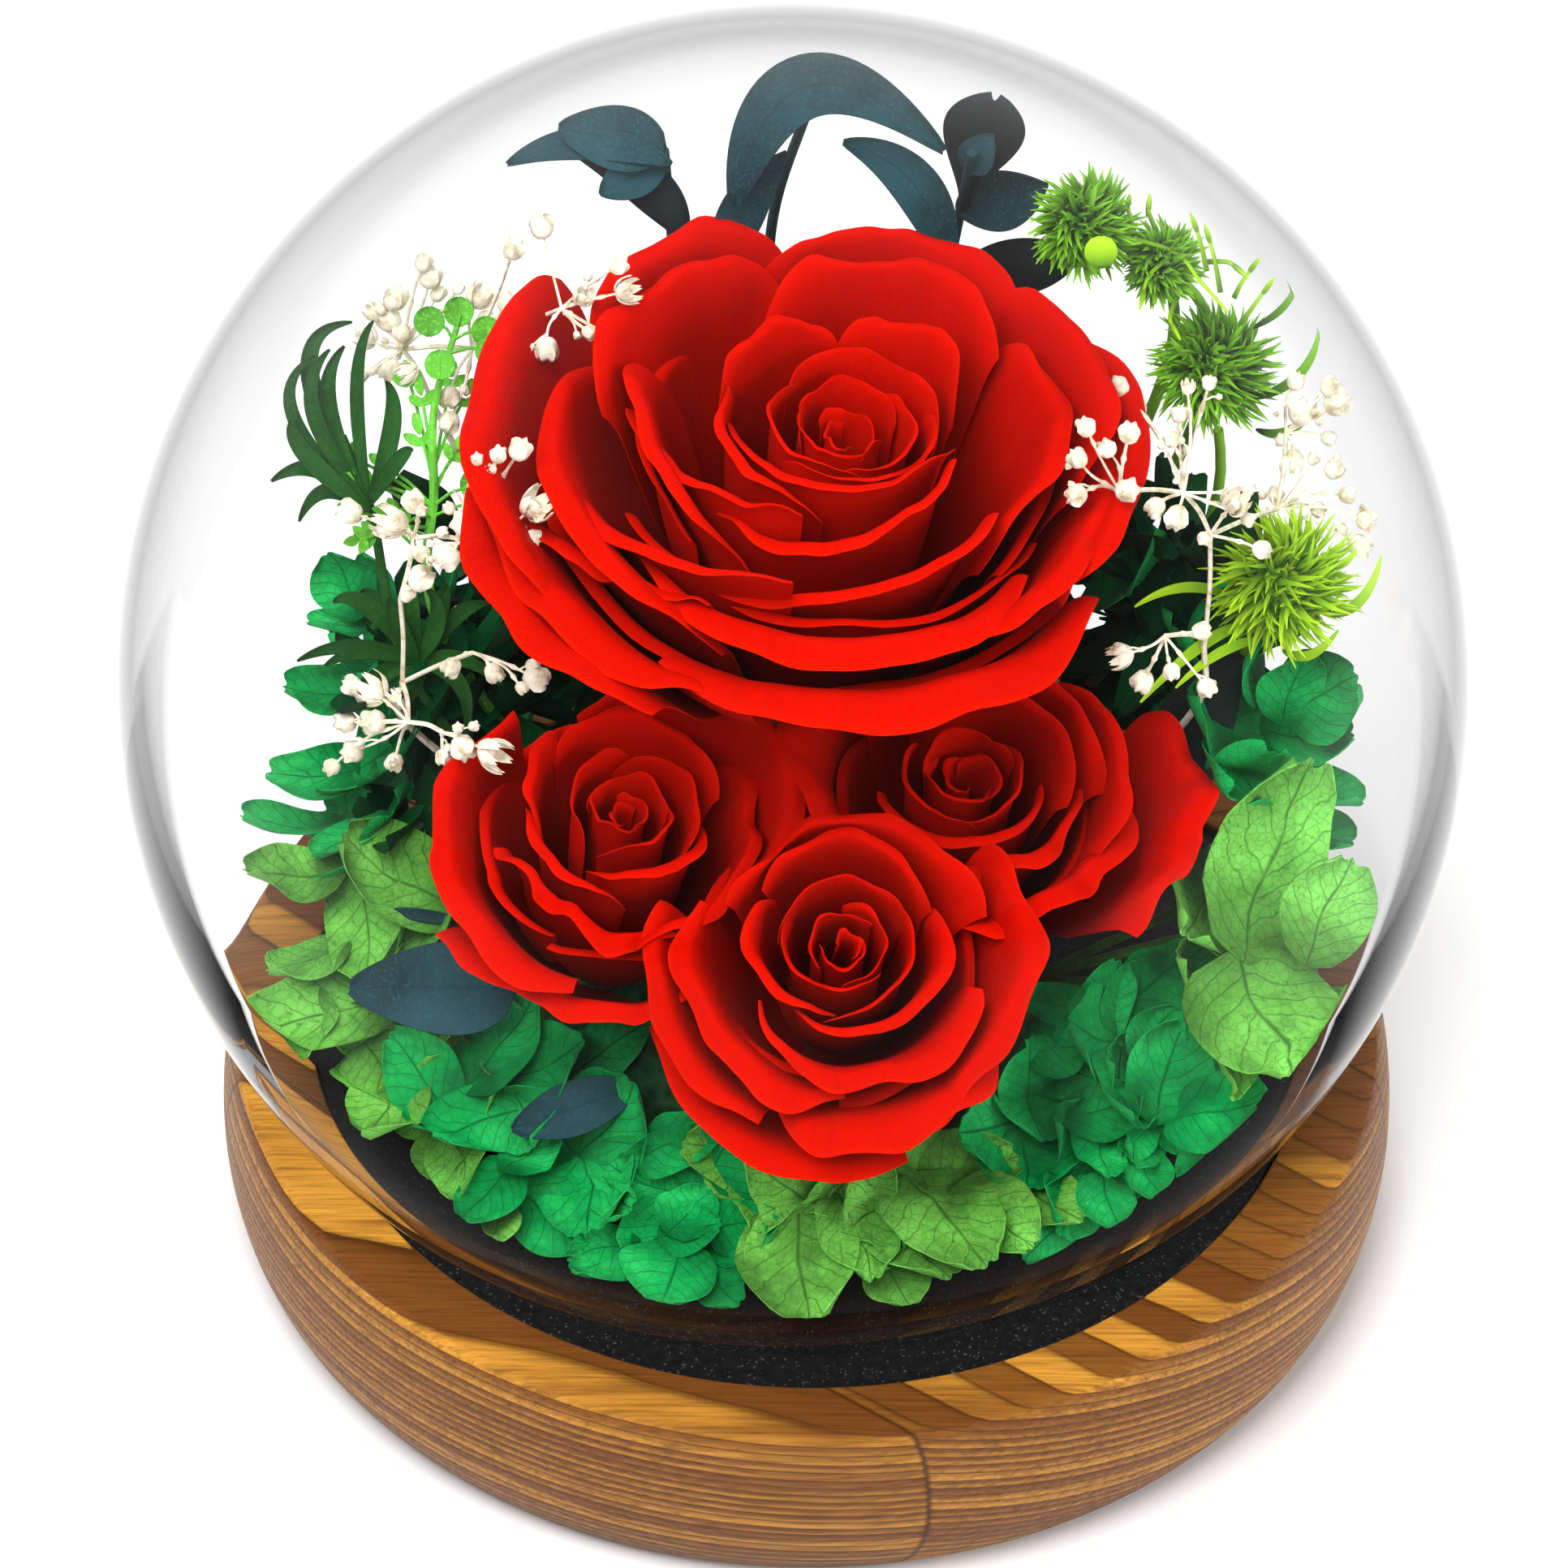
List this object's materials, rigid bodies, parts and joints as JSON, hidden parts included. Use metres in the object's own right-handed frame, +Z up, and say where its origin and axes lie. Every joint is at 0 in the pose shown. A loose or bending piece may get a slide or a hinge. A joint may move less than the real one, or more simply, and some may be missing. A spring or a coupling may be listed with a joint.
{
  "type": "preserved rose in glass dome",
  "caption": "Round glass dome on a black disc in a turned wooden base, over preserved red roses, one of them very large, with hydrangea, eucalyptus and sprays.",
  "frame": {"origin": "on the dome's axis, at the underside of the base", "axes": "+Z up along the dome's axis, -Y towards the front that the roses face, +X to the right seen from the front"},
  "size_m": [0.19, 0.19, 0.1936],
  "materials": {
    "wood": "satin, brushed dark and golden grain",
    "black_disc": "matte, slightly sparkling top",
    "glass": "clear, polished",
    "foam": "matte",
    "rose_petal": "velvety",
    "hydrangea_emerald": "soft, matte",
    "hydrangea_light_green": "soft, matte",
    "eucalyptus": "leathery, matte",
    "fresh_green": "matte",
    "ruscus": "leathery, satin",
    "cream": "matte"
  },
  "bodies": {
    "root": {"wooden_base": "wood", "black_disc": "black_disc", "glass_dome": "glass", "floral_foam": "foam", "babys_breath_high": "cream", "babys_breath_left": "cream", "babys_breath_right": "cream", "dianthus_ball_low": "fresh_green", "dianthus_ball_middle": "fresh_green", "dianthus_ball_top": "fresh_green", "dianthus_ball_upper": "fresh_green", "eucalyptus_leaf_front": "eucalyptus", "eucalyptus_leaf_left": "eucalyptus", "eucalyptus_left": "eucalyptus", "eucalyptus_middle": "eucalyptus", "eucalyptus_right": "eucalyptus", "front_rose_heart": "rose_petal", "front_rose_petal_1": "rose_petal", "front_rose_petal_2": "rose_petal", "front_rose_petal_3": "rose_petal", "front_rose_petal_4": "rose_petal", "front_rose_petal_5": "rose_petal", "giant_rose_heart": "rose_petal", "giant_rose_petal_1": "rose_petal", "giant_rose_petal_10": "rose_petal", "giant_rose_petal_11": "rose_petal", "giant_rose_petal_12": "rose_petal", "giant_rose_petal_13": "rose_petal", "giant_rose_petal_14": "rose_petal", "giant_rose_petal_2": "rose_petal", "giant_rose_petal_3": "rose_petal", "giant_rose_petal_4": "rose_petal", "giant_rose_petal_5": "rose_petal", "giant_rose_petal_6": "rose_petal", "giant_rose_petal_7": "rose_petal", "giant_rose_petal_8": "rose_petal", "giant_rose_petal_9": "rose_petal", "green_sprig_left": "fresh_green", "hydrangea_back": "hydrangea_emerald", "hydrangea_front": "hydrangea_light_green", "hydrangea_front_left": "hydrangea_emerald", "hydrangea_front_right": "hydrangea_emerald", "hydrangea_left": "hydrangea_emerald", "hydrangea_lower_left": "hydrangea_light_green", "hydrangea_right": "hydrangea_light_green", "hydrangea_right_high": "hydrangea_emerald", "left_rose_heart": "rose_petal", "left_rose_petal_1": "rose_petal", "left_rose_petal_2": "rose_petal", "left_rose_petal_3": "rose_petal", "left_rose_petal_4": "rose_petal", "left_rose_petal_5": "rose_petal", "right_rose_heart": "rose_petal", "right_rose_petal_1": "rose_petal", "right_rose_petal_2": "rose_petal", "right_rose_petal_3": "rose_petal", "right_rose_petal_4": "rose_petal", "right_rose_petal_5": "rose_petal", "ruscus_left": "ruscus"}
  },
  "joints": []
}
